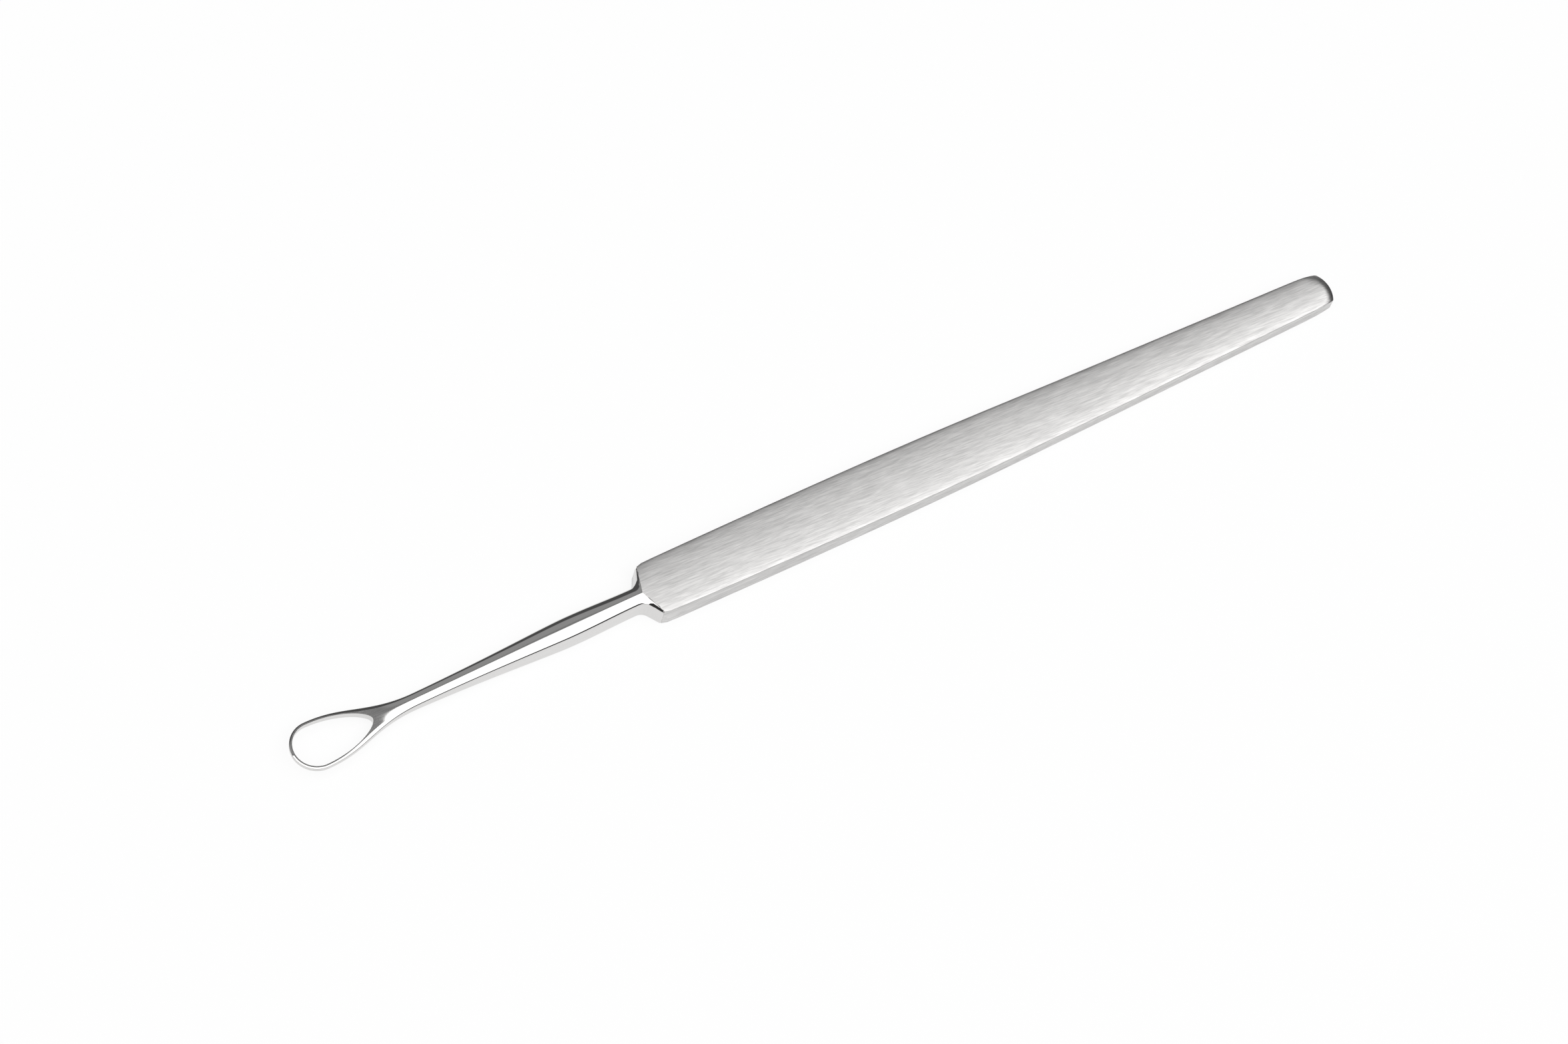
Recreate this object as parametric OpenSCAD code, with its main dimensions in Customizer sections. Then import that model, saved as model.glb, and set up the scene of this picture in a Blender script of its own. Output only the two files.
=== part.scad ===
// Ear curette: a flat bar handle, a V-shaped step at its shoulder, a slender neck and an open
// teardrop loop, all one piece of stainless steel. It lies flat on the underside of its handle.
// X runs along the tool towards the rounded end of the handle, Y across it, and Z up.

/* [Handle] */
// Length of the handle from its shoulder to its rounded end
handle_l = 95; // [80:0.1:110]
// Width of the handle at its widest place
handle_w = 7.25; // [6:0.05:9]
// Distance of the widest place from the shoulder
belly_x = 29; // [20:0.5:36]
// Width that the sides of the handle run to at the shoulder
shoulder_w = 6.78; // [5.6:0.02:6.9]
// Width of the handle where its rounded end begins
tail_w = 4.65; // [4.3:0.05:5.6]
// Thickness of the bar at the shoulder
shoulder_t = 3; // [2.6:0.05:3.6]
// Thickness of the thinned part of the handle
grip_t = 2.15; // [1.8:0.05:2.5]
// Distance from the shoulder at which the bar has become thin
thin_x = 57; // [45:0.5:68]
// Height of the crown across the top face
face_crown = 0.09; // [0.03:0.01:0.15]
// Radius of the broken edges round the top face of the handle
edge_r = 0.22; // [0.1:0.01:0.26]
// Radius of the broken edges round its underside
under_edge_r = 0.1; // [0.06:0.01:0.2]

/* [Rounded end] */
// Radius of the rounded end, seen from above
tail_r = 3.6; // [3:0.1:6]
// Width of the handle across the corners of its rounded end
tail_end_w = 4.05; // [3.4:0.05:4.1]
// Radius of those corners
tail_corner_r = 0.45; // [0.3:0.05:0.8]
// Width of the rolled-over top edge at the rounded end
tail_roll = 1.3; // [0.8:0.05:1.6]
// Drop of the rolled-over edge below the top face
tail_drop = 0.3; // [0.1:0.02:0.4]

/* [Shoulder] */
// Length over which the sides draw in at the shoulder corners
corner_ease = 1.3; // [0.6:0.1:2]
// Radius of the sides where they draw in at the shoulder corners
corner_r = 3.4; // [3:0.1:8]
// Angle of the shoulder's front to the tool's axis
shoulder_angle = 58; // [50:1:66]
// Radius of the fillet between shoulder and neck
fillet_r = 1.3; // [0.8:0.05:1.7]
// Distance that the point of the V-shaped step reaches over the neck
vee_reach = 0.9; // [0.6:0.05:1.1]
// Distance of the ends of the V behind the shoulder corners
vee_back = 0.2; // [0.1:0.01:0.3]
// Drop of the ground slope in front of the V at the shoulder corners
vee_drop = 0.5; // [0.35:0.01:0.6]

/* [Neck] */
// Distance of the loop's tip from the shoulder
reach = 45.4; // [40:0.1:52]
// Width of the neck at its root
root_w = 2.34; // [1.9:0.02:2.5]
// Thickness of the neck at its root
root_t = 2.86; // [2.3:0.02:2.9]
// Width of the neck at its bulge
bulge_w = 2.7; // [2.5:0.02:3]
// Distance of the bulge from the shoulder
bulge_v = 10.3; // [8:0.1:12]
// Width of the neck at its waist
waist_w = 1.66; // [1.3:0.02:1.9]
// Distance of the waist from the loop's tip
waist_d = 15.5; // [14.5:0.1:18]
// Width of the sloping facet on each side of the neck's root
root_bevel = 0.64; // [0.5:0.01:0.75]
// Width of the sloping facet at the waist
waist_bevel = 0.31; // [0.2:0.01:0.4]
// Height of the crown across the neck's faces
neck_crown = 0.06; // [0.03:0.01:0.09]

/* [Loop] */
// Outer width of the loop
loop_w = 5.95; // [5.4:0.05:7]
// Width of the bar round the loop's front
rim_w = 0.33; // [0.28:0.01:0.45]
// Length of the loop's opening from its front to its pointed end
opening_l = 9.7; // [8.8:0.1:10.5]
// Thickness of the blade at the pointed end of the opening
crotch_t = 0.94; // [0.8:0.02:1.2]
// Thickness of the blade at its tip
tip_t = 0.66; // [0.56:0.02:0.78]
// Width of the slope outside the web between neck and loop
crotch_bevel = 0.45; // [0.3:0.01:0.7]
// Width of the slope outside the loop's bar
rim_bevel = 0.18; // [0.1:0.01:0.2]

/* [Hidden] */

// Steps along the curves
tail_arc_steps = 6;
corner_arc_steps = 4;
tail_side_steps = 7;
side_steps = 18;
fillet_steps = 9;
root_steps = 6;
neck_steps = 15;
flare_steps = 15;
nose_steps = 14;
opening_steps = 18;
edge_shares = [0, 0.35, 0.7, 1];
slope_shares = [0.35, 0.7];

// Handle
belly_half = handle_w / 2;
shoulder_half = shoulder_w / 2;
tail_half = tail_w / 2;
taper_blend = 22;
thin_blend = 14;
thinning = (shoulder_t - grip_t) / (thin_x - thin_blend / 2);
face_inset = 1;
brow_fall = 0.05;
side_crowding = 1.25;

// Rounded end: an arc, a small corner and a side that leans in
tail_run = 5;
tail_lean = 9;
tail_crown = 0.04;
tail_side_x = handle_l - tail_run;
tail_xc = handle_l - tail_r;
tail_corner_y = tail_end_w / 2 - tail_corner_r;
tail_corner_a = asin(tail_corner_y / (tail_r - tail_corner_r));
tail_corner_x = tail_xc + (tail_r - tail_corner_r) * cos(tail_corner_a);
tail_crease_r = tail_r - tail_roll;
corner_share = 0.3;
taper = (belly_half - tail_half) / ramp(tail_side_x - belly_x, taper_blend);

// Shoulder
mid_z = shoulder_t / 2;
corner_half = side_half(0);
root_half = root_w / 2;
fillet_x = ((root_half + fillet_r - corner_half) * cos(shoulder_angle) - fillet_r) / sin(shoulder_angle);
vee_slant = (vee_reach + vee_back) / corner_half;
vee_bevel_min = 0.15;
front_x = -vee_reach - 1;
seat_x = 1.5;
seat_gap = 0.02;
seat_crown = 0.12;
shoulder_edge = 0.1;

// Neck and loop, by distance from the shoulder
bulge_half = bulge_w / 2;
waist_half = waist_w / 2;
waist_v = reach - waist_d;
nose_r = loop_w / 2;
belly_v = reach - nose_r;
crotch_v = reach - rim_w - opening_l;
opening_half = nose_r - rim_w;
root_run = 3;
thinning_v = 7;
neck_blend = 8;
web_blend = 4;
root_half_t = min(root_t, shoulder_t - 0.04) / 2;
neck_slope = (root_half_t - crotch_t / 2) / (crotch_v - thinning_v - neck_blend / 2);
blade_slope = (crotch_t - tip_t) / 2 / (reach - crotch_v);

// How far each curve of the outline runs straight on from its two ends
swell_pull = [3.4, 3];
slim_pull = [9, 3];
flare_pull = [5.2, 5.8];
opening_pull = 4;
crotch_half = 0.9;

// Crowns, slopes and edge radii at the neck's root, its waist, the web and the loop. The top face
// is ground to clear slopes, and the underside is flatter, with broken edges
crowns = [neck_crown, neck_crown, 0, 0];
bevels = [root_bevel, waist_bevel, crotch_bevel, rim_bevel];
slope_falls = [0.21, 0.16, 0.22, 0.08];
top_edges = [0.27, 0.16, 0.1, 0.05];
under_crowns = [0.02, neck_crown, 0, 0];
under_falls = [0.02, 0.06, 0.1, 0.1];
under_edges = [0.08, 0.08, 0.06, 0.05];

// Smooth steps between two values, and a straight slope that starts with a soft bend
function mix(a, b, t) = a + (b - a) * t;
function part(v, a, b) = min(1, max(0, (v - a) / (b - a)));
function ease(t) = (1 - cos(180 * t)) / 2;
function ramp(t, blend) = t <= 0 ? 0 : t < blend ? t * t / (2 * blend) : t - blend / 2;

// Points and directions along a cubic curve
function curve(p, t) =
    pow(1 - t, 3) * p[0] + 3 * pow(1 - t, 2) * t * p[1] + 3 * (1 - t) * t * t * p[2] + pow(t, 3) * p[3];
function heading(p, t) =
    pow(1 - t, 2) * (p[1] - p[0]) + 2 * (1 - t) * t * (p[2] - p[1]) + t * t * (p[3] - p[2]);
function left_of(d) = [-d[1], d[0]] / norm(d);
function right_of(d) = -left_of(d);

// Half the handle's width at a distance from the shoulder
function side_half(x) =
    mix(shoulder_half, belly_half, 1 - pow(1 - part(x, 0, belly_x), 2))
    - taper * ramp(x - belly_x, taper_blend)
    - (x < corner_ease ? corner_r - sqrt(pow(corner_r, 2) - pow(corner_ease - max(x, 0), 2)) : 0);

// Height of the handle's top face above its underside
function face_z(x) =
    shoulder_t - thinning * (max(x, 0) - ramp(x - thin_x + thin_blend / 2, thin_blend));

// Half the thickness of neck and blade along the middle
function blade_half(v) =
    root_half_t - neck_slope * ramp(v - thinning_v, neck_blend)
    + (neck_slope - blade_slope) * ramp(v - crotch_v + web_blend / 2, web_blend);

// A value that changes from the neck's root through its waist and the web to the loop
function graded(v, values) =
    v < waist_v ? mix(values[0], values[1], ease(part(v, root_run, waist_v)))
    : v < crotch_v ? mix(values[1], values[2], ease(part(v, waist_v, crotch_v)))
    : mix(values[2], values[3], ease(part(v, crotch_v, belly_v)));

// Half a face of a section, from beside its middle over the crease at c to the wall at w, whose
// outward direction is n. The face at height z falls by its crown to the crease and by the fall of
// the slope to the wall, on a line or with a bow, and the edge is a radius that meets both
function fallen(t, fall, bow) = fall * mix(t, t * t, bow);
function half_face(w, n, c, z, crown, fall, bow, r, up, bends) =
    let (inset = norm(w - c), tilt = atan(fall * (1 + bow) / inset),
        foot = 1 - r * (1 - sin(tilt)) / inset,
        edge_z = crown + fallen(foot, fall, bow) + r * cos(tilt))
    [
        for (k = [1, 2]) [c[0], c[1] * k / 3, z - up * crown * pow(k / 3, 2)],
        [c[0], c[1], z - up * crown],
        for (t = bends) concat(mix(c, w, t * foot), z - up * (crown + fallen(t * foot, fall, bow))),
        for (t = edge_shares)
            let (a = mix(tilt, 90, t)) concat(w - n * r * (1 - sin(a)), z - up * (edge_z - r * cos(a)))
    ];
function reversed(list) = [for (i = [len(list) - 1 : -1 : 0]) list[i]];
function mirrored(list) = [for (p = list) [p[0], -p[1], p[2]]];
function section(top, under, z_top, z_under) =
    let (half = concat(top, reversed(under)))
    concat([[top[0][0], 0, z_top]], half, [[top[0][0], 0, z_under]], reversed(mirrored(half)));
function end_column(top, under) =
    let (half = concat(top, reversed(under))) [for (i = [2 : len(half) - 3]) half[i]];

// The handle's sections, from the rounded end to the front. Tail is 1 at the end and 0 on the sides
function handle_top(w, n, c, tail) =
    let (crown = mix(face_crown, tail_crown, tail) * pow(min(1, c[1] / crease_end[1]), 2))
    half_face(w, n, c, face_z(w[0]), crown, mix(brow_fall, tail_drop, tail), tail, edge_r, 1, slope_shares);
function handle_under(w, n, c) = half_face(w, n, c, 0, 0, 0, 0, under_edge_r, -1, slope_shares);
function handle_section(w, n, c, tail) =
    section(handle_top(w, n, c, tail), handle_under(w, n, c), face_z(w[0]), 0);
function tail_point(a, r) = [tail_xc + r * cos(a), r * sin(a)];
function corner_point(a) = [tail_corner_x, tail_corner_y] + tail_corner_r * [cos(a), sin(a)];
function side_x(i) = tail_side_x * pow(1 - i / side_steps, side_crowding);

side_end = corner_point(90 - tail_lean);
side_start = [tail_side_x, tail_half];
tail_side = [
    side_end, side_end + tail_run / 4 * [-cos(tail_lean), sin(tail_lean)],
    side_start + tail_run / 3 * [1, -taper], side_start
];
crease_end = tail_point(tail_corner_a, tail_crease_r);
crease_start = side_start - [0, face_inset];
tail_crease = [
    crease_end, crease_end + tail_roll / 2 * [-sin(tail_corner_a), cos(tail_corner_a)],
    crease_start + tail_run / 3 * [1, -taper], crease_start
];
handle_sections = concat(
    [for (i = [1 : tail_arc_steps])
        let (a = tail_corner_a * i / tail_arc_steps)
        handle_section(tail_point(a, tail_r), [cos(a), sin(a)], tail_point(a, tail_crease_r), 1)],
    [for (i = [1 : corner_arc_steps])
        let (a = mix(tail_corner_a, 90 - tail_lean, i / corner_arc_steps),
            t = corner_share * i / corner_arc_steps)
        handle_section(corner_point(a), [cos(a), sin(a)], curve(tail_crease, t), 1 - ease(t))],
    [for (i = [1 : tail_side_steps])
        let (t = i / tail_side_steps, u = mix(corner_share, 1, t))
        handle_section(curve(tail_side, t), right_of(heading(tail_side, t)),
            curve(tail_crease, u), 1 - ease(u))],
    [for (i = [1 : side_steps])
        let (w = [side_x(i), side_half(side_x(i))])
        handle_section(w, [0, 1], w - [0, face_inset], 0)],
    [handle_section([front_x, corner_half], [0, 1], [front_x, corner_half - face_inset], 0)]
);
handle_tip = end_column(
    handle_top([handle_l, 0], [1, 0], [handle_l - tail_roll, 0], 1),
    handle_under([handle_l, 0], [1, 0], [handle_l - tail_roll, 0])
);

// The neck's and loop's sections, from the loop's tip to the seat inside the handle
function blade_section(w, n, v, inset, crown, fall, r, under_crown, under_fall, under_r) =
    section(
        half_face(w, n, w - n * inset, mid_z + blade_half(v), crown, fall, 0, r, 1, []),
        half_face(w, n, w - n * inset, mid_z - blade_half(v), under_crown, under_fall, 0, under_r, -1, []),
        mid_z + blade_half(v), mid_z - blade_half(v)
    );
function neck_section(w, n) =
    let (v = -w[0])
    blade_section(w, n, v, graded(v, bevels), graded(v, crowns), graded(v, slope_falls),
        graded(v, top_edges), graded(v, under_crowns), graded(v, under_falls), graded(v, under_edges));
function nose_point(a) = [nose_r * cos(a) - belly_v, nose_r * sin(a)];
function run_between(a, b, pull) = [a, a + [pull[0], 0], b - [pull[1], 0], b];
flare = run_between([-belly_v, nose_r], [-waist_v, waist_half], flare_pull);
slimming = run_between([-waist_v, waist_half], [-bulge_v, bulge_half], slim_pull);
swelling = run_between([-bulge_v, bulge_half], [fillet_x, root_half], swell_pull);
function curve_sections(p, steps) =
    [for (i = [1 : steps]) neck_section(curve(p, i / steps), left_of(heading(p, i / steps)))];

// Round the fillet the crease runs back to the V, and the slope gets deeper
function fillet_normal(a) = [-sin(a), cos(a)];
function fillet_point(a) = [fillet_x, root_half + fillet_r] - fillet_r * fillet_normal(a);
function way_to_vee(w, n) = (vee_slant * w[1] - vee_reach - w[0]) / (vee_slant * n[1] - n[0]);
function shoulder_section(w, n, share) =
    blade_section(w, n, 0, max(vee_bevel_min, min(root_bevel, way_to_vee(w, n))),
        mix(neck_crown, seat_crown, share), mix(slope_falls[0], vee_drop - seat_crown, share),
        mix(top_edges[0], shoulder_edge, share), under_crowns[0], under_falls[0], under_edges[0]);
blade_sections = concat(
    [for (i = [1 : nose_steps])
        let (a = 180 - 90 * i / nose_steps) neck_section(nose_point(a), [cos(a), sin(a)])],
    curve_sections(flare, flare_steps),
    curve_sections(slimming, neck_steps),
    curve_sections(swelling, root_steps),
    [for (i = [1 : fillet_steps])
        let (a = shoulder_angle * i / fillet_steps)
        shoulder_section(fillet_point(a), fillet_normal(a), sin(90 * i / fillet_steps))],
    [shoulder_section([0, corner_half - seat_gap], fillet_normal(shoulder_angle / 2), 1)],
    [blade_section([seat_x, corner_half - seat_gap], [0, 1], 0, face_inset,
        seat_crown, vee_drop - seat_crown, shoulder_edge, under_crowns[0], under_falls[0], under_edges[0])]
);
blade_tip = end_column(
    half_face([-reach, 0], [-1, 0], [rim_bevel - reach, 0], mid_z + blade_half(reach),
        0, slope_falls[3], 0, top_edges[3], 1, []),
    half_face([-reach, 0], [-1, 0], [rim_bevel - reach, 0], mid_z - blade_half(reach),
        0, under_falls[3], 0, under_edges[3], -1, [])
);

// A smooth solid through a row of sections, drawn together to a column of points at its tip
module loft(tip, sections, turned) {
    n = len(sections[0]);
    m = len(tip);
    last = m + n * (len(sections) - 1);
    points = concat(tip, [for (s = sections) each s]);
    function on_tip(i) = max(0, min(m - 1, (i <= n / 2 ? i : n - i) - 3));
    tip_faces = [
        for (i = [0 : n - 1])
            let (j = (i + 1) % n, a = on_tip(i), b = on_tip(j))
            each (a == b ? [[a, m + i, m + j]] : [[a, m + i, m + j], [a, m + j, b]])
    ];
    skin = [
        for (s = [0 : len(sections) - 2], i = [0 : n - 1])
            let (a = m + s * n, j = (i + 1) % n)
            each [[a + i, a + n + i, a + n + j], [a + i, a + n + j, a + j]]
    ];
    faces = concat(tip_faces, skin, [[for (i = [n - 1 : -1 : 0]) last + i]]);
    polyhedron(points, turned ? [for (f = faces) reversed(f)] : faces, convexity = 6);
}

// What is in front of one side of the V
module vee_side() {
    far = handle_w;
    linear_extrude(3 * shoulder_t, center = true)
        polygon([
            [-vee_reach, 0], [-vee_reach + vee_slant * far, far], [-far, far], [-far, 0]
        ]);
}

module handle() {
    difference() {
        loft(handle_tip, handle_sections, false);
        vee_side();
        mirror([0, 1, 0]) vee_side();
    }
}

// The opening of the loop, from its round front to its pointed end
module opening() {
    side = [
        [-belly_v, opening_half], [opening_pull - belly_v, opening_half],
        [-crotch_v, crotch_half], [-crotch_v, 0]
    ];
    upper = concat(
        [for (i = [0 : nose_steps])
            let (a = 180 - 90 * i / nose_steps) [opening_half * cos(a) - belly_v, opening_half * sin(a)]],
        [for (i = [1 : opening_steps]) curve(side, i / opening_steps)]
    );
    lower = [for (i = [len(upper) - 2 : -1 : 1]) [upper[i][0], -upper[i][1]]];
    linear_extrude(shoulder_t) polygon(concat(upper, lower));
}

module blade() {
    difference() {
        loft(blade_tip, blade_sections, true);
        opening();
    }
}

module curette() {
    color("silver")
        translate([(reach - handle_l) / 2, 0, 0])
            union() {
                handle();
                blade();
            }
}

curette();
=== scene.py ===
"""Ear curette with a satin-brushed bar handle and a mirror-polished neck and loop."""
from math import asin, atan, cos, pi, radians, sin, sqrt, tan

import bmesh
import bpy
from bpy.props import FloatProperty, PointerProperty, StringProperty
from mathutils import Matrix, Vector


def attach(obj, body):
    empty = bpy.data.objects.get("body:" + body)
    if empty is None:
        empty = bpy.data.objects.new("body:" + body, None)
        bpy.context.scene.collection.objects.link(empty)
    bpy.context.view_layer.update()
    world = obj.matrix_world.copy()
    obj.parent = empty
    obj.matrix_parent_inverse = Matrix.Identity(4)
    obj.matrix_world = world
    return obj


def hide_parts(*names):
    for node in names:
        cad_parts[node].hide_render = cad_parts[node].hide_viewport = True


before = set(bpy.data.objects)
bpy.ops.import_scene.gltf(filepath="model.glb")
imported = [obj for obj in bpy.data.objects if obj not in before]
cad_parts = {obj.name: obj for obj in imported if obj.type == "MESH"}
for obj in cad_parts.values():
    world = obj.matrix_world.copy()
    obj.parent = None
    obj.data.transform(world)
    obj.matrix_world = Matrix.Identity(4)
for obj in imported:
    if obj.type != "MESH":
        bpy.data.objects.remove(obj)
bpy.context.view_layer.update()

bl_info = {
    "name": "Ear Curette",
    "version": (1, 0, 0),
    "blender": (4, 5, 0),
    "location": "3D View > Sidebar > Curette",
    "description": "Models a one-piece ear curette with a brushed handle and a polished loop",
    "category": "Add Mesh",
}

MM = 0.001
NODE = "curette"


# Sizes and colours

def length(name, text, mm, low, high):
    return FloatProperty(name=name, description=text, default=mm * MM, min=low * MM, max=high * MM,
                         subtype="DISTANCE", unit="LENGTH", precision=5)


class CuretteHandleSizes(bpy.types.PropertyGroup):
    """Sizes of the bar handle and its rounded end."""
    long: length("Length", "From the shoulder to the rounded end", 95, 80, 110)
    wide: length("Width", "At the widest place", 7.248, 6, 9)
    belly: length("Widest place", "Its distance from the shoulder", 29, 20, 36)
    shoulder_wide: length("Shoulder width", "Where the sides run to at the shoulder", 6.78, 5.6, 6.9)
    tail_wide: length("Tail width", "Where the rounded end begins", 4.65, 4.3, 5.6)
    thick: length("Thickness", "Of the bar at the shoulder", 3, 2.6, 3.6)
    thin: length("Thin part", "Thickness of the thinned part", 2.15, 1.8, 2.5)
    thin_from: length("Thin from", "Distance at which the bar has become thin", 57, 45, 68)
    crown: length("Crown", "Height of the crown across the top face", 0.12, 0.03, 0.15)
    brow: length("Brow", "Drop of the soft brow along its sides", 0.05, 0.02, 0.1)
    lip: length("Lip", "Drop of the worn lip at the very edge", 0.05, 0.0, 0.1)
    edge: length("Edge radius", "Radius of the broken edges round the top", 0.07, 0.03, 0.26)
    under_edge: length("Lower edge radius", "Radius of the broken edges below", 0.1, 0.06, 0.2)
    end_radius: length("End radius", "Of the rounded end, seen from above", 3.6, 3, 6)
    end_wide: length("End width", "Across the corners of the rounded end", 4.0, 3.4, 4.1)
    end_corner: length("End corner", "Radius of those corners", 0.4, 0.3, 0.8)
    roll: length("Rolled edge", "Width of the rolled-over edge at the end", 1.7, 0.8, 2)
    roll_drop: length("Roll drop", "Drop of the rolled-over edge", 0.36, 0.1, 0.4)


class CuretteBladeSizes(bpy.types.PropertyGroup):
    """Sizes of the shoulder, the neck and the loop."""
    corner_ease: length("Corner length", "Over which the sides draw in at the shoulder", 1.3, 0.6, 2)
    corner_radius: length("Corner radius", "Of the sides at the shoulder corners", 3.4, 3, 8)
    shoulder_angle: FloatProperty(name="Shoulder angle", description="Of its front to the tool's axis",
                                  default=radians(58), min=radians(50), max=radians(66),
                                  subtype="ANGLE")
    fillet: length("Fillet", "Radius between shoulder and neck", 1.3, 0.8, 1.7)
    vee_reach: length("V reach", "How far the V's point reaches over the neck", 0.9, 0.6, 1.1)
    vee_back: length("V ends", "How far its ends lie behind the corners", 0.2, 0.1, 0.3)
    vee_drop: length("V slope", "Drop of the slope in front of the V at the corners", 0.46, 0.3, 0.7)
    reach: length("Reach", "From the shoulder to the loop's tip", 45.4, 40, 52)
    root_wide: length("Root width", "Of the neck", 2.34, 1.9, 2.5)
    root_thick: length("Root thickness", "Of the neck", 2.86, 2.3, 2.9)
    bulge_wide: length("Bulge width", "Of the neck", 2.7, 2.5, 3)
    bulge_at: length("Bulge", "Its distance from the shoulder", 10.3, 8, 12)
    waist_wide: length("Waist width", "Of the neck", 1.66, 1.3, 1.9)
    waist_at: length("Waist", "Its distance from the loop's tip", 15.5, 14.5, 18)
    root_facet: length("Root facet", "Width of the sloping facets at the root", 0.64, 0.5, 0.75)
    waist_facet: length("Waist facet", "Width of the sloping facets at the waist", 0.31, 0.2, 0.4)
    crown: length("Crown", "Height of the crown across the neck's faces", 0.06, 0.03, 0.09)
    loop_wide: length("Loop width", "Outer width of the loop", 5.95, 5.4, 7)
    rim: length("Rim", "Width of the bar round the loop's front", 0.33, 0.28, 0.45)
    opening: length("Opening", "Length of the loop's opening", 9.7, 8.8, 10.5)
    web_thick: length("Web thickness", "At the pointed end of the opening", 0.94, 0.8, 1.2)
    tip_thick: length("Tip thickness", "Of the blade at its tip", 0.66, 0.56, 0.78)
    web_facet: length("Web facet", "Width of the slope outside the web", 0.42, 0.3, 0.7)
    rim_facet: length("Rim facet", "Width of the slope outside the loop's bar", 0.16, 0.1, 0.2)


class CuretteFinish(bpy.types.PropertyGroup):
    """Colours and brushing."""
    brushed: StringProperty(name="Brushed steel", description="sRGB colour of the handle",
                            default="#DDDCDB")
    polished: StringProperty(name="Polished steel", description="sRGB colour of neck and loop",
                             default="#E9E8E7")
    floor: StringProperty(name="Floor", description="sRGB colour of the floor", default="#FBFBFB")
    stroke: length("Stroke width", "Width of the finest brush strokes", 0.13, 0.02, 0.5)


# Fixed measures of the handle's curves: how softly the sides bend into their taper and the thinning
# ends, the length of the tail's last bend and how far the sides lean in at its end, how far inside
# the wall a section has its crease, and how far the handle runs on before the V is cut
TAPER_SOFT, THIN_SOFT = 22 * MM, 14 * MM
TAIL_RUN, TAIL_LEAN = 5 * MM, radians(9)
CREASE_INSET = 1 * MM
FRONT_SPARE = 1 * MM
# The brow and the lip drop with these powers of the place across the handle, 1 at its sides
BROW_POWER, LIP_POWER = 8, 40
# The share of the tail's crease that belongs to the corner of the rounded end
CORNER_CREASE = 0.3
# Sections along the side, closer together near the shoulder, then along the tail's last bend, round
# its corner and along the rounded end
SIDE_STEPS, SIDE_SPREAD = 39, 1.25
TAIL_STEPS, CORNER_STEPS, END_STEPS = 14, 8, 12

# Fixed measures of the blade: where its thinning starts and how softly, how softly that fades at the
# web, where the neck's facets begin to change, and where the blade ends inside the handle
THIN_START, THIN_BEND, WEB_BEND = 7 * MM, 8 * MM, 4 * MM
GRADE_START = 3 * MM
SEAT, SEAT_GAP = 1.5 * MM, 0.004 * MM
# Millimetres at the neck's root, its waist, the web and the loop: how far the slopes fall and the
# radius of their edges, above and below
SLOPE_FALLS, SLOPE_EDGES = (0.21, 0.16, 0.12, 0.08), (0.44, 0.28, 0.16, 0.06)
UNDER_FALLS, UNDER_EDGES = (0.02, 0.06, 0.1, 0.1), (0.08, 0.08, 0.06, 0.05)
# The shoulder: its upper outline is steeper, tighter and a little further back than its foot, and
# each has a small corner. Its top slope has a crown, a bow and a least width, and all its edges past
# the fillet are fine. Its underside falls only a little
UPPER_TURN, UPPER_TIGHTER, UPPER_BACK = radians(5), 0.2 * MM, 0.02 * MM
LOWER_CORNER, UPPER_CORNER = 0.08 * MM, 0.1 * MM
SHOULDER_CROWN, SHOULDER_BOW, SHOULDER_FACET = 0.1 * MM, 0.5, 0.15 * MM
FINE_EDGE, FLUSH_FALL = 0.08 * MM, 0.02 * MM
# The neck's curves run through the loop's belly, the waist, the bulge and the shoulder's fillet. Each
# has the pulls of its two ends, in millimetres, and its number of sections
LOOP_RUN, WAIST_RUN, ROOT_RUN = (5.2, 5.8, 34), (9, 3, 24), (3.4, 3, 12)
NOSE_STEPS, FILLET_STEPS, ROUND_STEPS = 24, 18, 4
# The opening's curve: its pulls at the belly and at the pointed end, the points along its side and
# round its front, the lowest place that it is cut from, and the half width that its ends keep
BELLY_PULL, POINT_PULL = 4 * MM, 0.9 * MM
OPENING_STEPS, FRONT_STEPS = 40, 32
OPENING_LOW, SLIVER = 0.2 * MM, 0.0005 * MM

# Points of half a face: from the middle to the crease, on to the edge, and round the edge
HANDLE_TOP, HANDLE_UNDER = (6, 8, 9), (1, 1, 6)
BLADE_TOP, BLADE_UNDER = (6, 6, 9), (2, 1, 6)
UP, DOWN = 1, -1
# A short way from a wall, over which the tilt of the face beside it is measured
PROBE = 0.02 * MM
# Points closer than this are one
MERGE = 1e-6


# Curves and blends

def blend(a, b, t):
    return a + (b - a) * t


def part(v, a, b):
    """How much of the way from a to b has been gone at v, from 0 to 1."""
    return min(1.0, max(0.0, (v - a) / (b - a)))


def ease(t):
    return (1 - cos(pi * t)) / 2


def ramp(t, soft):
    """A slope of 1 that starts with a soft bend."""
    return 0.0 if t <= 0 else t * t / (2 * soft) if t < soft else t - soft / 2


def curve(p, t):
    """The place at t on the cubic curve with the four control points p."""
    s = 1 - t
    return p[0] * s ** 3 + p[1] * (3 * s * s * t) + p[2] * (3 * s * t * t) + p[3] * t ** 3


def heading(p, t):
    """The direction of that curve at t."""
    s = 1 - t
    run = (p[1] - p[0]) * (s * s) + (p[2] - p[1]) * (2 * s * t) + (p[3] - p[2]) * (t * t)
    return run.normalized()


def plan(x, y):
    """A point or direction seen from above."""
    return Vector((x, y))


# Modelling by hand

def deselect():
    if bpy.context.object and bpy.context.object.mode == "EDIT":
        bpy.ops.object.mode_set(mode="OBJECT")
    bpy.ops.object.select_all(action="DESELECT")


def take(piece):
    """Selects one piece alone and makes it the active one."""
    deselect()
    piece.select_set(True)
    bpy.context.view_layer.objects.active = piece


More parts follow.
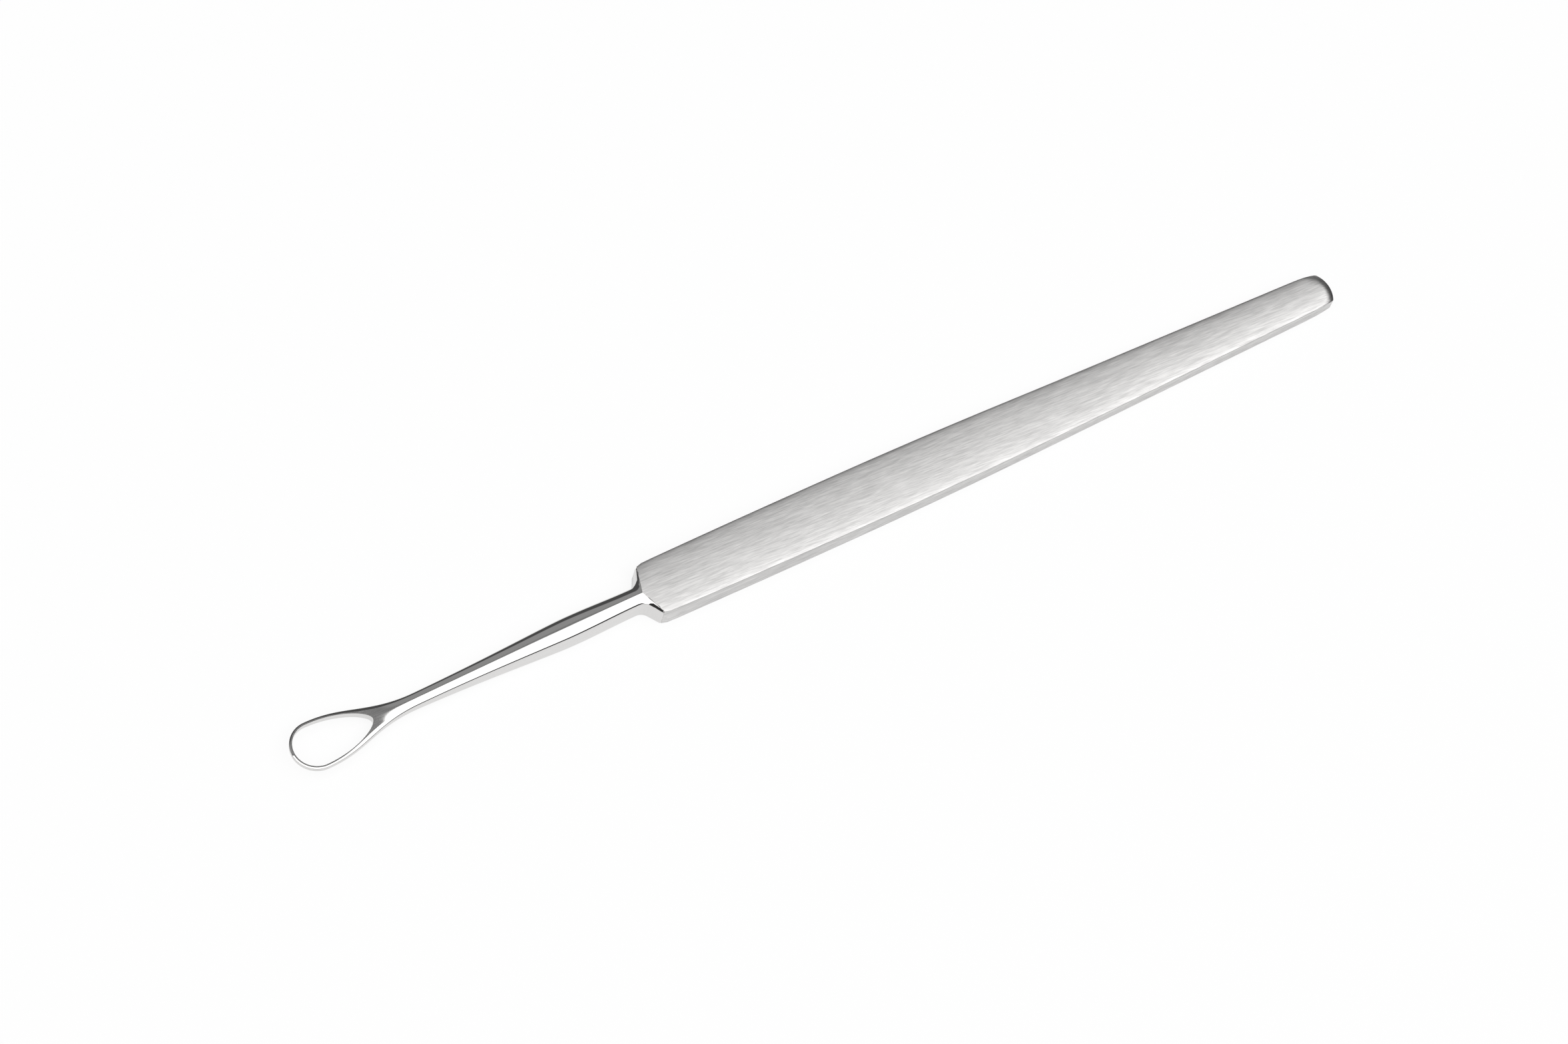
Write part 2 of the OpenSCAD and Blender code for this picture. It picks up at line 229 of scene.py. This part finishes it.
def shape(piece):
    """Opens a piece for editing, with none of its points selected."""
    take(piece)
    bpy.ops.object.mode_set(mode="EDIT")
    bpy.ops.mesh.select_mode(type="VERT")
    bpy.ops.mesh.select_all(action="DESELECT")
    return bmesh.from_edit_mesh(piece.data)


def draw_half(name, sections):
    """Models one half of a long form. A chain of points is drawn as its first section, then extruded
    from section to section, with each point moved to its place."""
    deselect()
    count = len(sections[0])
    bpy.ops.mesh.primitive_grid_add(x_subdivisions=1, y_subdivisions=count - 1, size=1)
    piece = bpy.context.object
    piece.name = piece.data.name = name
    mesh = shape(piece)
    for v in mesh.verts:
        v.select_set(v.co.x > 0)
    mesh.select_flush(True)
    bpy.ops.mesh.delete(type="VERT")
    mesh = bmesh.from_edit_mesh(piece.data)
    chain = sorted(mesh.verts, key=lambda v: v.co.y)
    for number, section in enumerate(sections):
        if number:
            order = {v.co.to_tuple(): i for i, v in enumerate(chain)}
            bpy.ops.mesh.extrude_region_move()
            mesh = bmesh.from_edit_mesh(piece.data)
            drawn = (v for v in mesh.verts if v.select)
            chain = sorted(drawn, key=lambda v: order[v.co.to_tuple()])
        for v in chain:
            v.select_set(False)
        for v, place in zip(chain, section):
            v.select_set(True)
            bpy.ops.transform.translate(value=Vector(place) - v.co)
            v.select_set(False)
        for v in chain:
            v.select_set(True)
        mesh.select_flush(True)
    bpy.ops.object.mode_set(mode="OBJECT")
    return piece


def apply(piece, kind, **settings):
    """Adds a modifier and applies it."""
    take(piece)
    modifier = piece.modifiers.new(kind.title(), kind)
    for key, value in settings.items():
        setattr(modifier, key, value)
    bpy.ops.object.modifier_apply(modifier=modifier.name)


def close_up(piece):
    """Mirrors a half form, merges its seam and closes its ends, with every face outwards."""
    apply(piece, "MIRROR", use_axis=(False, True, False), use_clip=True, merge_threshold=MERGE)
    shape(piece)
    bpy.ops.mesh.select_all(action="SELECT")
    bpy.ops.mesh.remove_doubles(threshold=MERGE)
    bpy.ops.mesh.select_all(action="DESELECT")
    bpy.ops.mesh.select_non_manifold()
    bpy.ops.mesh.edge_face_add()
    bpy.ops.mesh.select_all(action="SELECT")
    bpy.ops.mesh.normals_make_consistent(inside=False)
    bpy.ops.object.mode_set(mode="OBJECT")


# The form of the tool

def half_face(w, n, c, z, drop, radius, up, steps):
    """Half a face of a section: from beside its middle over the crease at c to the wall at w, whose
    outward direction is n. The face lies below z by the drop of each place, which is also told how
    far it is from the middle (0) over the crease (1) to the wall (2). A radius joins face and wall."""
    inner, outer, turns = steps
    inset = (w - c).length
    tilt = atan((drop(w, 2) - drop(w - n * PROBE, 2 - PROBE / inset)) / PROBE)
    foot = w - n * (radius * (1 - sin(tilt)))
    foot_share = 1 - radius * (1 - sin(tilt)) / inset
    edge = drop(foot, 1 + foot_share) + radius * cos(tilt)
    places = [(plan(c.x, c.y * k / inner), k / inner) for k in range(1, inner + 1)]
    closer = [1 - (1 - k / outer) ** 2 for k in range(1, outer)]
    places += [(c.lerp(foot, t), 1 + foot_share * t) for t in closer]
    points = [(p.x, p.y, z - up * drop(p, share)) for p, share in places]
    for k in range(turns):
        a = blend(tilt, pi / 2, k / (turns - 1))
        p = w - n * (radius * (1 - sin(a)))
        points.append((p.x, p.y, z - up * (edge - radius * cos(a))))
    return points


def half_section(top, under, z_top, z_under):
    """A whole half section, from the middle of the top face round to the middle of the underside."""
    return [(top[0][0], 0, z_top)] + top + under[::-1] + [(under[0][0], 0, z_under)]


def shifted(sections, dx):
    return [[(x + dx, y, z) for x, y, z in s] for s in sections]


def middle_shift(h, b):
    """The tool's middle is at X 0, as in the frame."""
    return (b.reach - h.long) / 2


def side_half(h, b, x):
    """Half the handle's width at a distance from the shoulder."""
    belly, tail, tail_x = h.wide / 2, h.tail_wide / 2, h.long - TAIL_RUN
    y = blend(h.shoulder_wide / 2, belly, 1 - (1 - part(x, 0, h.belly)) ** 2)
    y -= (belly - tail) * ramp(x - h.belly, TAPER_SOFT) / ramp(tail_x - h.belly, TAPER_SOFT)
    if x < b.corner_ease:
        y -= b.corner_radius - sqrt(b.corner_radius ** 2 - (b.corner_ease - max(x, 0)) ** 2)
    return y


def face_z(h, x):
    """Height of the handle's top face above its underside."""
    thinning = (h.thick - h.thin) / (h.thin_from - THIN_SOFT / 2)
    past = ramp(x - h.thin_from + THIN_SOFT / 2, THIN_SOFT)
    return h.thick - thinning * (max(x, 0) - past)


def vee_slant(h, b):
    """How far the V's edge runs back for each step to the side."""
    return (b.vee_reach + b.vee_back) / side_half(h, b, 0)


def handle_sections(h, b):
    """The handle's half sections, from its front to the middle of its rounded end."""
    tail_x, end_x = h.long - TAIL_RUN, h.long - h.end_radius
    corner_y = h.end_wide / 2 - h.end_corner
    corner_a = asin(corner_y / (h.end_radius - h.end_corner))
    corner = plan(end_x + (h.end_radius - h.end_corner) * cos(corner_a), corner_y)
    taper = (side_half(h, b, tail_x - MM) - side_half(h, b, tail_x)) / MM

    def drop(p, share):
        """The top face falls to its sides on a crown, a soft brow and a worn lip, thins, and rolls
        over at the end."""
        side = p.y / side_half(h, b, p.x)
        falls = h.crown * side ** 2 + h.brow * side ** BROW_POWER + h.lip * side ** LIP_POWER
        falls += h.thick - face_z(h, p.x)
        level = sqrt(1 - (p.y / h.end_radius) ** 2) if p.x > end_x else 1
        from_end = level * (end_x + h.end_radius * level - p.x)
        return falls + h.roll_drop * (1 - part(from_end, 0, h.roll)) ** 2

    def section(w, n, c):
        top = half_face(w, n, c, h.thick, drop, h.edge, UP, HANDLE_TOP)
        under = half_face(w, n, c, 0, lambda p, share: 0, h.under_edge, DOWN, HANDLE_UNDER)
        return half_section(top, under, h.thick - drop(plan(c.x, 0), 0), 0)

    def arc(a, radius):
        return plan(end_x + radius * cos(a), radius * sin(a))

    def round_corner(a):
        return corner + plan(cos(a), sin(a)) * h.end_corner

    side_end = round_corner(pi / 2 - TAIL_LEAN)
    side_start = plan(tail_x, side_half(h, b, tail_x))
    start_pull = plan(1, -taper) * (TAIL_RUN / 3)
    side = [side_end, side_end + plan(-cos(TAIL_LEAN), sin(TAIL_LEAN)) * (TAIL_RUN / 4),
            side_start + start_pull, side_start]
    crease_end = arc(corner_a, h.end_radius - h.roll)
    crease_start = side_start - plan(0, CREASE_INSET)
    crease = [crease_end, crease_end + plan(-sin(corner_a), cos(corner_a)) * (h.roll / 2),
              crease_start + start_pull, crease_start]
    sections = []
    front = -b.vee_reach - FRONT_SPARE
    for x in [front] + [tail_x * (i / SIDE_STEPS) ** SIDE_SPREAD for i in range(SIDE_STEPS + 1)]:
        w = plan(x, side_half(h, b, x))
        sections.append(section(w, plan(0, 1), w - plan(0, CREASE_INSET)))
    for i in range(1, TAIL_STEPS + 1):
        t = 1 - i / TAIL_STEPS
        d = heading(side, t)
        c = curve(crease, blend(CORNER_CREASE, 1, t))
        sections.append(section(curve(side, t), plan(d.y, -d.x), c))
    for i in range(1, CORNER_STEPS + 1):
        t = 1 - i / CORNER_STEPS
        a = blend(corner_a, pi / 2 - TAIL_LEAN, t)
        c = curve(crease, CORNER_CREASE * t)
        sections.append(section(round_corner(a), plan(cos(a), sin(a)), c))
    for i in range(1, END_STEPS + 1):
        a = corner_a * (1 - i / END_STEPS)
        c = arc(a, h.end_radius - h.roll)
        sections.append(section(arc(a, h.end_radius), plan(cos(a), sin(a)), c))
    return shifted(sections, middle_shift(h, b))


def blade_sections(h, b):
    """The half sections of neck and loop, from the seat inside the handle to the loop's tip. A
    section's place v is its distance from the shoulder."""
    mid_z = h.thick / 2
    waist_v, nose = b.reach - b.waist_at, b.loop_wide / 2
    belly_v, crotch_v = b.reach - nose, b.reach - b.rim - b.opening
    slope = (b.root_thick - b.web_thick) / 2 / (crotch_v - THIN_START - THIN_BEND / 2)
    blade_slope = (b.web_thick - b.tip_thick) / 2 / (b.reach - crotch_v)
    root, bulge, waist = b.root_wide / 2, b.bulge_wide / 2, b.waist_wide / 2
    corner = side_half(h, b, 0)
    vee = vee_slant(h, b)

    def shoulder_outline(angle, fillet, corner_x, corner_radius):
        """From the neck round the fillet, along the shoulder's front and round its corner to the
        side: places and their outward directions."""
        x = corner_x + ((root + fillet - corner + SEAT_GAP) * cos(angle) - fillet) / sin(angle)
        found = []
        for i in range(FILLET_STEPS + 1):
            a = angle * i / FILLET_STEPS
            n = plan(-sin(a), cos(a))
            found.append((plan(x, root + fillet) - n * fillet, n))
        centre = plan(corner_x + corner_radius * tan(angle / 2), corner - SEAT_GAP - corner_radius)
        for i in range(ROUND_STEPS + 1):
            a = angle * (1 - i / ROUND_STEPS)
            n = plan(-sin(a), cos(a))
            found.append((centre + n * corner_radius, n))
        return found

    lower = shoulder_outline(b.shoulder_angle, b.fillet, 0, LOWER_CORNER)
    upper = shoulder_outline(b.shoulder_angle + UPPER_TURN, b.fillet - UPPER_TIGHTER, UPPER_BACK,
                             UPPER_CORNER)

    def half_thick(v):
        return (b.root_thick / 2 - slope * ramp(v - THIN_START, THIN_BEND)
                + (slope - blade_slope) * ramp(v - crotch_v + WEB_BEND / 2, WEB_BEND))

    def graded(v, values):
        """A value that changes from the neck's root through its waist and the web to the loop."""
        if v < waist_v:
            return blend(values[0], values[1], ease(part(v, GRADE_START, waist_v)))
        if v < crotch_v:
            return blend(values[1], values[2], ease(part(v, waist_v, crotch_v)))
        return blend(values[2], values[3], ease(part(v, crotch_v, belly_v)))

    def falling(crown, fall, bow=0):
        """A face that falls on a crown to its crease, and on a slope with a bow to the wall."""
        return lambda p, share: crown * share ** 2 if share <= 1 else (
            crown + fall * blend(share - 1, (share - 1) ** 2, bow))

    def section(w, n, v, inset, top, radius, under, under_radius, below=None):
        z = half_thick(v)
        low, low_n = below or (w, n)
        return half_section(
            half_face(w, n, w - n * inset, mid_z + z, top, radius, UP, BLADE_TOP),
            half_face(low, low_n, low - low_n * inset, mid_z - z, under, under_radius, DOWN,
                      BLADE_UNDER),
            mid_z + z, mid_z - z)

    def neck(w, n):
        v = -w.x
        inset = graded(v, (b.root_facet, b.waist_facet, b.web_facet, b.rim_facet))
        top = falling(graded(v, (b.crown, b.crown, 0, 0)), graded(v, SLOPE_FALLS) * MM)
        under = falling(graded(v, (FLUSH_FALL, b.crown, 0, 0)), graded(v, UNDER_FALLS) * MM)
        return section(w, n, v, inset, top, graded(v, SLOPE_EDGES) * MM,
                       under, graded(v, UNDER_EDGES) * MM)

    flush = falling(FLUSH_FALL, FLUSH_FALL)

    def shoulder(at, below, share):
        """A section of the shoulder. Its top slope reaches to the V, and changes from the neck's
        slope (share 0) to the front's (share 1)."""
        w, n = at
        to_vee = (vee * w.y - b.vee_reach - w.x) / (vee * n.y - n.x)
        inset = max(SHOULDER_FACET, min(b.root_facet, to_vee))
        fall = blend(SLOPE_FALLS[0] * MM, b.vee_drop - SHOULDER_CROWN, share)
        top = falling(blend(b.crown, SHOULDER_CROWN, share), fall, SHOULDER_BOW * share)
        radius = blend(SLOPE_EDGES[0] * MM, FINE_EDGE, min(1, 2 * share))
        return section(w, n, 0, inset, top, radius, flush, FINE_EDGE, below)

    def run(start, end, start_pull, end_pull, steps):
        p = [start, start + plan(start_pull * MM, 0), end - plan(end_pull * MM, 0), end]
        found = []
        for i in range(1, steps + 1):
            d = heading(p, i / steps)
            found.append(neck(curve(p, i / steps), plan(-d.y, d.x)))
        return found

    tip_fall, tip_under = SLOPE_FALLS[3] * MM, UNDER_FALLS[3] * MM
    tip_edge = UNDER_EDGES[3] * MM
    tip = section(plan(-b.reach, 0), plan(-1, 0), b.reach, b.rim_facet, falling(0, tip_fall),
                  tip_edge, falling(0, tip_under), tip_edge)
    sections = [[(x, 0, z) for x, y, z in tip]]
    for i in range(1, NOSE_STEPS + 1):
        a = pi * (1 - i / (2 * NOSE_STEPS))
        sections.append(neck(plan(nose * cos(a) - belly_v, nose * sin(a)), plan(cos(a), sin(a))))
    sections += run(plan(-belly_v, nose), plan(-waist_v, waist), *LOOP_RUN)
    sections += run(plan(-waist_v, waist), plan(-b.bulge_at, bulge), *WAIST_RUN)
    sections += run(plan(-b.bulge_at, bulge), lower[0][0], *ROOT_RUN)
    for i in range(1, len(lower)):
        share = sin(pi / 2 * min(1, i / FILLET_STEPS))
        sections.append(shoulder(upper[i], lower[i], share))
    seat_top = falling(SHOULDER_CROWN, b.vee_drop - SHOULDER_CROWN, SHOULDER_BOW)
    sections.append(section(plan(SEAT, corner - SEAT_GAP), plan(0, 1), 0, CREASE_INSET, seat_top,
                            FINE_EDGE, flush, FINE_EDGE))
    return shifted(sections, middle_shift(h, b))[::-1]


def opening_sections(h, b):
    """The loop's opening as a thick half plate, from its pointed end to its round front."""
    nose = b.loop_wide / 2
    belly_x, crotch_x = nose - b.reach, b.rim + b.opening - b.reach
    half = nose - b.rim
    side = [plan(belly_x, half), plan(belly_x + BELLY_PULL, half), plan(crotch_x, POINT_PULL),
            plan(crotch_x, 0)]
    outline = [curve(side, 1 - i / OPENING_STEPS) for i in range(OPENING_STEPS)]
    for i in range(FRONT_STEPS + 1):
        a = pi / 2 * (1 + i / FRONT_STEPS)
        outline.append(plan(belly_x + half * cos(a), half * sin(a)))
    outline[0].y = outline[-1].y = SLIVER
    low, high = OPENING_LOW, h.thick
    return shifted([[(p.x, 0, high), (p.x, p.y, high), (p.x, p.y, low), (p.x, 0, low)]
                    for p in outline], middle_shift(h, b))


# Finishes

def linear(hex_colour):
    """An sRGB hex colour as linear RGBA."""
    parts = [int(hex_colour[i:i + 2], 16) / 255 for i in (1, 3, 5)]
    return [p / 12.92 if p <= 0.04045 else ((p + 0.055) / 1.055) ** 2.4 for p in parts] + [1.0]


def add_node(tree, kind, values=None, **settings):
    """Adds a node, with its settings, and its inputs as values or as links from other sockets."""
    node = tree.nodes.new(kind)
    for key, value in settings.items():
        setattr(node, key, value)
    for key, value in (values or {}).items():
        if isinstance(value, bpy.types.NodeSocket):
            tree.links.new(value, node.inputs[key])
        else:
            node.inputs[key].default_value = value
    return node


def new_material(name):
    material = bpy.data.materials.new(name)
    material.use_nodes = True
    material.node_tree.nodes.clear()
    return material, material.node_tree


def object_place(tree):
    return add_node(tree, "ShaderNodeTexCoord").outputs["Object"]


def noise(tree, place, scale, detail, roughness):
    return add_node(tree, "ShaderNodeTexNoise", {
        "Vector": place, "Scale": scale, "Detail": detail, "Roughness": roughness}).outputs["Fac"]


def map_range(tree, value, low, high, to_low=0.0, to_high=1.0, **settings):
    return add_node(tree, "ShaderNodeMapRange", {
        "Value": value, "From Min": low, "From Max": high, "To Min": to_low, "To Max": to_high},
        **settings).outputs[0]


def shades(tree, share, hex_colour, dark, light):
    """A colour that varies between two strengths of it."""
    base = Vector(linear(hex_colour)[:3])
    return add_node(tree, "ShaderNodeMix", {
        "Factor": share, "A": (*(base * dark), 1), "B": (*(base * light), 1)},
        data_type="RGBA").outputs["Result"]


def satin_brushed_steel(finish):
    """Stainless steel, belt-brushed nearly lengthwise. Its fine short strokes spread the reflections
    across the tool much more than along it, and are a little darker where they are deep."""
    material, tree = new_material("satin_brushed_stainless_steel")
    place = object_place(tree)

    def strokes(wide, long, slant, detail):
        """Noise drawn out into strokes of a real width and length, a little off the tool's axis."""
        drawn = add_node(tree, "ShaderNodeMapping", {
            "Vector": place, "Rotation": (0, 0, radians(slant)), "Scale": (long, wide, wide)},
            vector_type="TEXTURE")
        return noise(tree, drawn.outputs[0], 1.0, detail, 0.6)

    fine = strokes(finish.stroke, finish.stroke * 16, -2.5, 3.0)
    broad = strokes(finish.stroke * 3, finish.stroke * 40, -1.5, 2.0)
    both = add_node(tree, "ShaderNodeMix", {"Factor": 0.3, "A": fine, "B": broad},
                    data_type="FLOAT").outputs[0]
    shade = map_range(tree, both, 0.36, 0.64)
    colour = shades(tree, shade, finish.brushed, 0.82, 1.16)
    bump = add_node(tree, "ShaderNodeBump", {
        "Strength": 0.3, "Distance": 0.004 * MM, "Height": both})
    across = add_node(tree, "ShaderNodeCombineXYZ", {"Y": 1.0})
    steel = add_node(tree, "ShaderNodeBsdfPrincipled", {
        "Base Color": colour, "Metallic": 1.0, "Roughness": 0.31, "Anisotropic": 0.75,
        "Tangent": across.outputs[0], "Normal": bump.outputs[0]})
    add_node(tree, "ShaderNodeOutputMaterial", {"Surface": steel.outputs[0]})
    return material


def mirror_polished_steel(finish):
    """Stainless steel, ground and then buffed to a mirror: sharp light and dark bands, with a trace
    of lengthwise grinding lines left under the shine."""
    material, tree = new_material("mirror_polished_stainless_steel")
    place = object_place(tree)
    # The grinding lines are about 2.5 mm long and 0.14 mm wide, the waves about 1.4 mm
    lines = add_node(tree, "ShaderNodeMapping", {"Vector": place, "Scale": (400, 7000, 7000)})
    trace = noise(tree, lines.outputs[0], 1.0, 2.0, 0.5)
    waves = noise(tree, place, 700.0, 1.0, 0.4)
    rough = map_range(tree, trace, 0.3, 0.7, 0.05, 0.09)
    colour = shades(tree, trace, finish.polished, 0.94, 1.04)
    bump = add_node(tree, "ShaderNodeBump", {
        "Strength": 0.12, "Distance": 0.01 * MM, "Height": waves})
    steel = add_node(tree, "ShaderNodeBsdfPrincipled", {
        "Base Color": colour, "Metallic": 1.0, "Roughness": rough, "Normal": bump.outputs[0]})
    add_node(tree, "ShaderNodeOutputMaterial", {"Surface": steel.outputs[0]})
    return material


# Operators

# Edges that turn by more than these angles stay sharp
HANDLE_SHARP, BLADE_SHARP = 35, 12


def finish_piece(piece, material, angle):
    """Smooth shading with the ground edges kept sharp, one material, and its place in the tool."""
    take(piece)
    bpy.ops.object.shade_smooth_by_angle(angle=radians(angle))
    piece.data.materials.clear()
    piece.data.materials.append(material)
    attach(piece, "root")
    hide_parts(NODE)
    deselect()


class CURETTE_OT_handle(bpy.types.Operator):
    """Models the flat bar handle with its rounded end and the V-shaped step at its front."""
    bl_idname = "curette.handle"
    bl_label = "Bar Handle"

    def execute(self, context):
        h, b = context.scene.curette_handle, context.scene.curette_blade
        piece = draw_half("curette_handle", handle_sections(h, b))
        close_up(piece)
        vee = vee_slant(h, b)
        apex = Vector((middle_shift(h, b) - b.vee_reach, 0, 0))
        for side in (1, -1):
            shape(piece)
            bpy.ops.mesh.select_all(action="SELECT")
            bpy.ops.mesh.bisect(plane_co=apex, plane_no=(-1, side * vee, 0), use_fill=True,
                                clear_outer=True)
            bpy.ops.object.mode_set(mode="OBJECT")
        finish_piece(piece, satin_brushed_steel(context.scene.curette_finish), HANDLE_SHARP)
        return {"FINISHED"}


class CURETTE_OT_blade(bpy.types.Operator):
    """Models the slender neck and the teardrop loop, and cuts the loop's opening."""
    bl_idname = "curette.blade"
    bl_label = "Neck and Loop"

    def execute(self, context):
        h, b = context.scene.curette_handle, context.scene.curette_blade
        piece = draw_half("curette_blade", blade_sections(h, b))
        close_up(piece)
        cutter = draw_half("opening_cutter", opening_sections(h, b))
        close_up(cutter)
        apply(piece, "BOOLEAN", operation="DIFFERENCE", solver="EXACT", object=cutter)
        bpy.data.objects.remove(cutter)
        finish_piece(piece, mirror_polished_steel(context.scene.curette_finish), BLADE_SHARP)
        return {"FINISHED"}


# The photographer's place: the directions to the picture's right and to the camera, the point in the
# picture's middle, the distance to it, and the lens for a 36 mm wide sensor
CAMERA_RIGHT = Vector((0.8451, -0.5075, 0.1675)).normalized()
CAMERA_BACK = Vector((-0.3763, -0.3424, 0.8613)).normalized()
AIM = Vector((-6.144, 0.74, 2.6)) * MM
DISTANCE = 0.6
SENSOR, LENS = 36, 121.406
CLIP_NEAR, CLIP_FAR = 0.01, 20
# The tool lies a little askew of the picture's grid, and the camera stands this far aside
ASKEW = 0.0032
ASIDE = Vector((0.2, -0.07, 0)) * MM

# The floor, 0.02 mm below the tool. Its glow makes up most of what the camera and the reflections
# see of it, and is a little weaker in the reflections
FLOOR_SIZE, FLOOR_Z = 6, -0.00002
GLOW_SHARE, REFLECTED_GLOW = 0.88, 0.84
# The softbox: a round lamp up over the near side, which the steel doesn't reflect
LAMP_SIZE, LAMP_ENERGY, LAMP_DISTANCE = 0.9, 3.0, 1.2
LAMP_WAY = Vector((0.0, -0.35, 1)).normalized()
# The room, as directions from the tool and brightnesses: far of the first Y range it is the far
# side. Each side has a dark wall below its Z range and is light above it, and the far side's ceiling
# is brighter past the second Y range
FAR_FROM, CEILING_FROM = (0.318, 0.338), (0.355, 0.45)
NEAR_WALL_TOP, FAR_WALL_TOP = (0.55, 0.62), (0.55, 0.66)
NEAR_WALL, NEAR_LIGHT = 0.035, 1.5
FAR_WALL, CEILING, CEILING_BACK = 0.075, 0.195, 0.3


class CURETTE_OT_stage(bpy.types.Operator):
    """Sets up the pale floor, the soft studio light and the camera."""
    bl_idname = "curette.stage"
    bl_label = "Floor, Light and Camera"

    def execute(self, context):
        scene = context.scene
        deselect()
        self.floor(scene)
        self.studio(scene)
        self.camera(scene)
        scene.view_settings.view_transform = "Standard"
        return {"FINISHED"}

    def floor(self, scene):
        """Matt white paper: it shows as white, and keeps a soft part of the tool's shadow."""
        bpy.ops.mesh.primitive_plane_add(size=FLOOR_SIZE, location=(0, 0, FLOOR_Z))
        floor = bpy.context.object
        floor.name = "floor"
        bpy.ops.object.transform_apply(location=True, rotation=True, scale=True)
        material, tree = new_material("matt_white_paper")
        paper = add_node(tree, "ShaderNodeBsdfDiffuse", {"Color": linear(scene.curette_finish.floor)})
        path = add_node(tree, "ShaderNodeLightPath")
        seen, reflected = path.outputs["Is Camera Ray"], path.outputs["Is Glossy Ray"]
        bright = map_range(tree, reflected, 0.0, 1.0, 1.0, REFLECTED_GLOW)
        glow = add_node(tree, "ShaderNodeEmission", {"Color": (1, 1, 1, 1), "Strength": bright})
        direct = add_node(tree, "ShaderNodeMath", {0: seen, 1: reflected}, operation="MAXIMUM")
        share = add_node(tree, "ShaderNodeMath", {0: direct.outputs[0], 1: GLOW_SHARE},
                         operation="MULTIPLY")
        surface = add_node(tree, "ShaderNodeMixShader", {
            0: share.outputs[0], 1: paper.outputs[0], 2: glow.outputs[0]})
        add_node(tree, "ShaderNodeOutputMaterial", {"Surface": surface.outputs[0]})
        floor.data.materials.append(material)
        deselect()

    def studio(self, scene):
        """The room round the tool: a wide white softbox overhead and on the near side, a grey ceiling
        behind it, and dark low walls."""
        world = bpy.data.worlds.new("studio")
        world.use_nodes = True
        scene.world = world
        tree = world.node_tree
        tree.nodes.clear()
        way = add_node(tree, "ShaderNodeTexCoord").outputs["Generated"]
        axes = add_node(tree, "ShaderNodeSeparateXYZ", {0: way}).outputs

        def step(axis, low, high):
            return map_range(tree, axes[axis], low, high, interpolation_type="SMOOTHSTEP")

        def level(share, a, b):
            return add_node(tree, "ShaderNodeMix", {"Factor": share, "A": a, "B": b},
                            data_type="FLOAT").outputs[0]

        ceiling = level(step("Y", *CEILING_FROM), CEILING, CEILING_BACK)
        near_side = level(step("Z", *NEAR_WALL_TOP), NEAR_WALL, NEAR_LIGHT)
        far_side = level(step("Z", *FAR_WALL_TOP), FAR_WALL, ceiling)
        room = level(step("Y", *FAR_FROM), near_side, far_side)
        back = add_node(tree, "ShaderNodeBackground", {"Color": (1, 1, 1, 1), "Strength": room})
        add_node(tree, "ShaderNodeOutputWorld", {"Surface": back.outputs[0]})
        bpy.ops.object.light_add(type="AREA", location=(0, 0, 0))
        lamp = bpy.context.object
        lamp.name = "softbox"
        lamp.data.shape = "DISK"
        lamp.data.size = LAMP_SIZE
        lamp.data.energy = LAMP_ENERGY
        lamp.visible_glossy = False
        turn = LAMP_WAY.to_track_quat("Z", "Y").to_matrix().to_4x4()
        lamp.matrix_world = Matrix.Translation(LAMP_WAY * LAMP_DISTANCE) @ turn

    def camera(self, scene):
        turn = Matrix.Rotation(-ASKEW, 3, "Z")
        right, back = turn @ CAMERA_RIGHT, turn @ CAMERA_BACK
        up = back.cross(right)
        data = bpy.data.cameras.new("photographer")
        data.sensor_width = SENSOR
        data.lens = LENS
        data.clip_start = CLIP_NEAR
        data.clip_end = CLIP_FAR
        camera = bpy.data.objects.new("photographer", data)
        scene.collection.objects.link(camera)
        place = turn @ (AIM + CAMERA_BACK * DISTANCE) - ASIDE
        axes = Matrix((right, up, back)).transposed().to_4x4()
        camera.matrix_world = Matrix.Translation(place) @ axes
        scene.camera = camera


class CURETTE_PT_panel(bpy.types.Panel):
    """Lists the steps of the model and its sizes."""
    bl_idname = "CURETTE_PT_panel"
    bl_label = "Ear Curette"
    bl_space_type = "VIEW_3D"
    bl_region_type = "UI"
    bl_category = "Curette"

    def draw(self, context):
        layout = self.layout
        for operator in OPERATORS:
            layout.operator(operator.bl_idname)
        for group in GROUPS:
            box = layout.box()
            settings = getattr(context.scene, group)
            for name in settings.bl_rna.properties.keys():
                if name not in ("rna_type", "name"):
                    box.prop(settings, name)


OPERATORS = (CURETTE_OT_handle, CURETTE_OT_blade, CURETTE_OT_stage)
GROUPS = {
    "curette_handle": CuretteHandleSizes,
    "curette_blade": CuretteBladeSizes,
    "curette_finish": CuretteFinish,
}


def register():
    for group in GROUPS.values():
        bpy.utils.register_class(group)
    for name, group in GROUPS.items():
        setattr(bpy.types.Scene, name, PointerProperty(type=group))
    for operator in OPERATORS:
        bpy.utils.register_class(operator)
    bpy.utils.register_class(CURETTE_PT_panel)


def unregister():
    bpy.utils.unregister_class(CURETTE_PT_panel)
    for operator in reversed(OPERATORS):
        bpy.utils.unregister_class(operator)
    for name, group in GROUPS.items():
        delattr(bpy.types.Scene, name)
        bpy.utils.unregister_class(group)


def main():
    register()
    bpy.ops.curette.handle()
    bpy.ops.curette.blade()
    bpy.ops.curette.stage()


if __name__ == "__main__":
    main()
